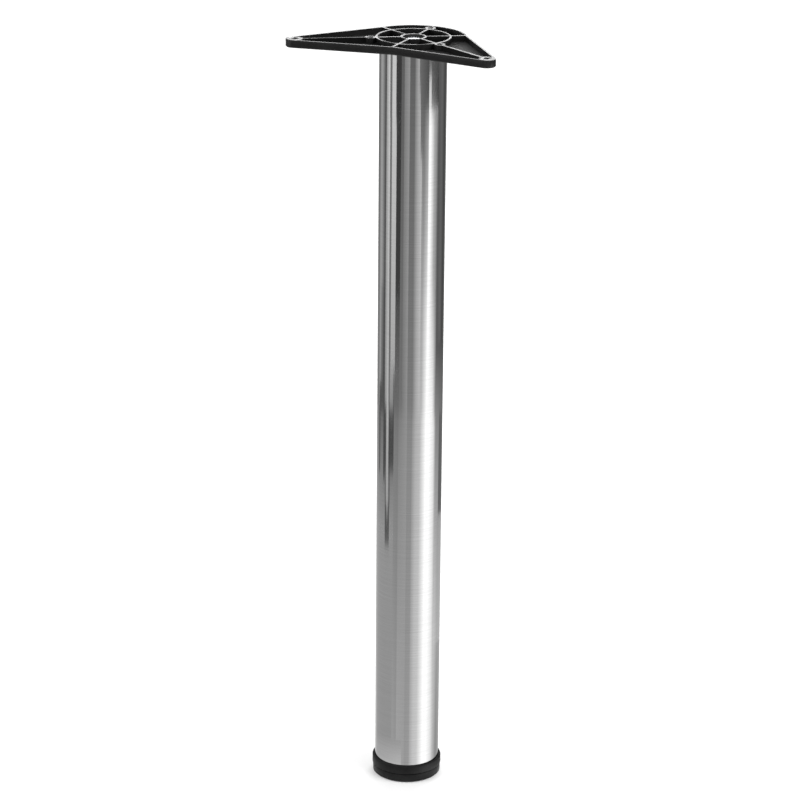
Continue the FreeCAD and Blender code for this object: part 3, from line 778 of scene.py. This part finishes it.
def rounded(corners, size):
    """Replaces each corner of a closed outline by a parabola from and to points this far along its sides.

    One more point stands on each side of the parabola, so that the long faces beyond keep their normals.
    """
    corners = np.asarray(corners, float)[:, None]
    before = np.roll(corners, 1, axis=0) - corners
    after = np.roll(corners, -1, axis=0) - corners
    before = before / np.linalg.norm(before, axis=-1, keepdims=True) * size
    after = after / np.linalg.norm(after, axis=-1, keepdims=True) * size
    share = np.linspace(0, 1, ROUND_STEPS)[None, :, None]
    bend = corners + (1 - share) ** 2 * before + share**2 * after
    first = corners + SUPPORT * before
    last = corners + SUPPORT * after
    return np.concatenate([first, bend, last], axis=1).reshape(-1, 2)


tube_low, tube_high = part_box("tube")
outside = tube_high.x
inside = outside - TUBE_WALL
low, high = tube_low.z, tube_high.z
outline = rounded([(outside, low), (outside, high), (inside, high), (inside, low)], RIM_ROUND)
tube_grid = turned_grid(outline[:, 0], outline[:, 1], TUBE_STEPS)
tube = add_surface("tube_brushed", tube_grid, columns_close=True)
stand_in(tube, "tube")
print(f"tube {2 * outside / MM:.0f} mm across, {(high - low) / MM:.0f} mm long")

# %% [markdown]
# ## Soft corners
#
# No moulding has knife edges. The construction model's meshes are loose triangles, so a copy is merged
# first, its flat areas are joined, and a Bevel modifier rounds what bends sharply. The rounded corners
# are what catches the light along ribs and rims. The plate's outer rim is rounded more than its ribs,
# so each edge says by its weight how much of the bevel it gets. On the way the walls inside pockets are
# marked, where the plate's finish paints shade.

# %% Rounded copies
FLAT = radians(0.5)
BEVEL_STEPS = 3
RIM_DEPTH = 6 * MM
RIM_REACH = 40 * MM
UPRIGHT = 0.5


def on_outer_rim(edge, top):
    """Whether an edge lies at the top of the wall that runs round the outside, down to the underside."""
    middle = (edge.verts[0].co + edge.verts[1].co) / 2
    lowest = min(corner.co.z for face in edge.link_faces for corner in face.verts)
    return middle.z > top - SAME_PLACE and lowest < top - RIM_DEPTH and middle.xy.length > RIM_REACH


def in_pocket(face, top):
    """Whether a face is upright and ends above the underside, as the walls inside a pocket do."""
    lowest = min(corner.co.z for corner in face.verts)
    return abs(face.normal.z) < UPRIGHT and lowest > top - RIM_DEPTH


def rounded_copy(node, size, rim_size=None):
    """A merged copy of a node with rounded edges, those of its outer rim by another size if given."""
    mesh = frame["nodes"][node].data.copy()
    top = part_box(node)[1].z
    widest = rim_size or size
    work = bmesh.new()
    work.from_mesh(mesh)
    bmesh.ops.remove_doubles(work, verts=work.verts, dist=SAME_PLACE)
    bmesh.ops.dissolve_limit(work, angle_limit=FLAT, verts=work.verts, edges=work.edges)
    weights = work.edges.layers.float.new("bevel_weight_edge")
    sharp = [edge for edge in work.edges if edge.is_manifold and edge.calc_face_angle() > SHARP_BEND]
    for edge in sharp:
        edge[weights] = 1.0 if rim_size and on_outer_rim(edge, top) else size / widest
    # Walls inside pockets are marked for the painted shade of the plate's finish.
    walls = work.faces.layers.float.new(POCKET_WALL)
    for face in work.faces:
        face[walls] = float(in_pocket(face, top))
    work.to_mesh(mesh)
    work.free()
    mesh.shade_smooth()
    piece = bpy.data.objects.new(f"{node}_moulding", mesh)
    scene.collection.objects.link(piece)
    bevel = piece.modifiers.new("rounded_corners", "BEVEL")
    bevel.width = widest
    bevel.segments = BEVEL_STEPS
    bevel.limit_method = "WEIGHT"
    bevel.harden_normals = True
    stand_in(piece, node)
    print(node, "has", len(sharp), "rounded edges on", len(mesh.polygons), "faces")


rounded_copy("mounting_plate", 0.2 * MM, rim_size=1.1 * MM)
rounded_copy("end_cap", 0.25 * MM)
rounded_copy("adjuster_foot", 0.3 * MM)

# %% [markdown]
# ## Screws
#
# A screw is a hexagon at one end and a thread at the other. Both are one distance from the axis, worked
# out for each angle and each step along the screw. The head's corners are cut by a 30 degree cone, so
# the distance is the smaller of hexagon and cone. The thread's distance rises and falls once a pitch and
# moves on by a pitch in each turn. The construction model has plain cylinders here, which are enough for
# a fit and too plain to look at once the foot is screwed out.

# %% Screws
SCREW_STEPS = 72
STEPS_PER_PITCH = 10
HEAD_FLAT = 0.475
HEAD_CONE = radians(30)
CONE_STEPS = 6
SIXTH = pi / 3
THREAD_DEPTH = 0.6134
FLANK = 2.3
CREST_SHARE = 0.65
TIP_CONE = 1.0 * MM


def hexagon_reach(angles, flats):
    """Half the flats over the cosine of the angle from the middle of the nearest side."""
    return flats / 2 / np.cos(angles % SIXTH - SIXTH / 2)


def thread_reach(angles, along, radius, pitch):
    """A ridge once a pitch that climbs a pitch per turn: a clipped triangle wave of the phase."""
    phase = (along / pitch - angles / (2 * pi)) % 1
    ridge = np.clip(FLANK * (np.abs(2 * phase - 1) - 0.5) + CREST_SHARE, 0, 1)
    return radius - THREAD_DEPTH * pitch * (1 - ridge)


def screw_grid(flats, head, radius, pitch, length):
    """Distances from the axis and steps along it, from the middle of the head to the middle of the tip."""
    angles = np.linspace(0, 2 * pi, SCREW_STEPS, endpoint=False)[:, None]
    hexagon = hexagon_reach(angles, flats)
    cone_height = (hexagon.max() - HEAD_FLAT * flats) * tan(HEAD_CONE)
    cone_steps = np.linspace(0, cone_height, CONE_STEPS)
    cone = np.minimum(hexagon, HEAD_FLAT * flats + cone_steps / tan(HEAD_CONE))
    thread_steps = np.linspace(head, head + length, int(STEPS_PER_PITCH * length / pitch))
    thread = thread_reach(angles, thread_steps, radius, pitch)
    thread = np.minimum(thread, radius - TIP_CONE + head + length - thread_steps)
    axis = np.zeros_like(angles)
    reach = np.concatenate([axis, cone, hexagon, thread, axis], axis=1)
    along = np.concatenate([[0], cone_steps, [head], thread_steps, [head + length]])
    return angles, reach, along


def add_screw(node, flats, radius, head, pitch, upwards):
    """A screw in a node's place. One that points down is turned half round X, which keeps its hand."""
    low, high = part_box(node)
    angles, reach, along = screw_grid(flats, head, radius, pitch, high.z - low.z - head)
    heights = low.z + along if upwards else high.z - along
    side = 1 if upwards else -1
    heights = heights * np.ones_like(angles)
    points = np.stack([reach * np.cos(angles), side * reach * np.sin(angles), heights], axis=-1)
    screw = add_surface(f"{node}_threaded", points)
    stand_in(screw, node)
    print(f"{node}: M{2 * radius / MM:.0f}, {(high.z - low.z) / MM:.1f} mm long")


add_screw("plate_bolt", flats=13 * MM, radius=4 * MM, head=5.3 * MM, pitch=1.25 * MM, upwards=False)
add_screw("foot_stud", flats=17 * MM, radius=5 * MM, head=6.4 * MM, pitch=1.5 * MM, upwards=True)

# %% [markdown]
# ## Marks of the mould
#
# Pins push a moulding out of its mould and leave small smooth rings. One shows in a pocket on each side
# of the hub. A small burr stands on the front rim, where the mould's halves met; its pale colour is a
# painted glint. They are small, but the light finds them.

# %% Marks of the mould
MARK_STEPS = 48
MARK_PROFILE = np.array([(0, 0.05), (2.2, 0.05), (2.4, 0.12), (2.8, 0.12), (3.0, 0), (0, 0)]) * MM
MARK_PLACES = [(36.9 * MM, 7.9 * MM), (-36.9 * MM, 7.9 * MM)]
BURR_PLACE = Vector((48.8, -53.7, 709.6)) * MM
BURR_SIZE = 0.4 * MM
BURR_STEPS = 12

pin_polish, _ = new_finish("pin_polish", (0.008, 0.008, 0.008), roughness=0.25, specular=0.4)
# The burr's pale colour is a painted glint on a small real burr.
burr_painted_glint, _ = new_finish("burr_painted_glint", (0.6, 0.6, 0.6), roughness=0.5)


def add_mark(name, profile, place, finish):
    """A small form on the plate: its profile carried round an upright axis at its place."""
    points = turned_grid(profile[:, 0], profile[:, 1], MARK_STEPS) + np.array(place)
    mark = add_surface(name, points)
    mark.data.materials.append(finish)
    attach(mark, frame["nodes"]["mounting_plate"]["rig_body"])


for number, (x, y) in enumerate(MARK_PLACES):
    add_mark(f"ejector_mark_{number}", MARK_PROFILE, (x, y, POCKET_FLOOR), pin_polish)
latitudes = np.linspace(-pi / 2, pi / 2, BURR_STEPS)
ball = np.stack([np.cos(latitudes), np.sin(latitudes)], axis=1) * BURR_SIZE
# The burr's form is real; its pale finish is a painted glint.
add_mark("rim_burr", ball, BURR_PLACE, burr_painted_glint)
print(len(MARK_PLACES), "ejector marks and a burr")
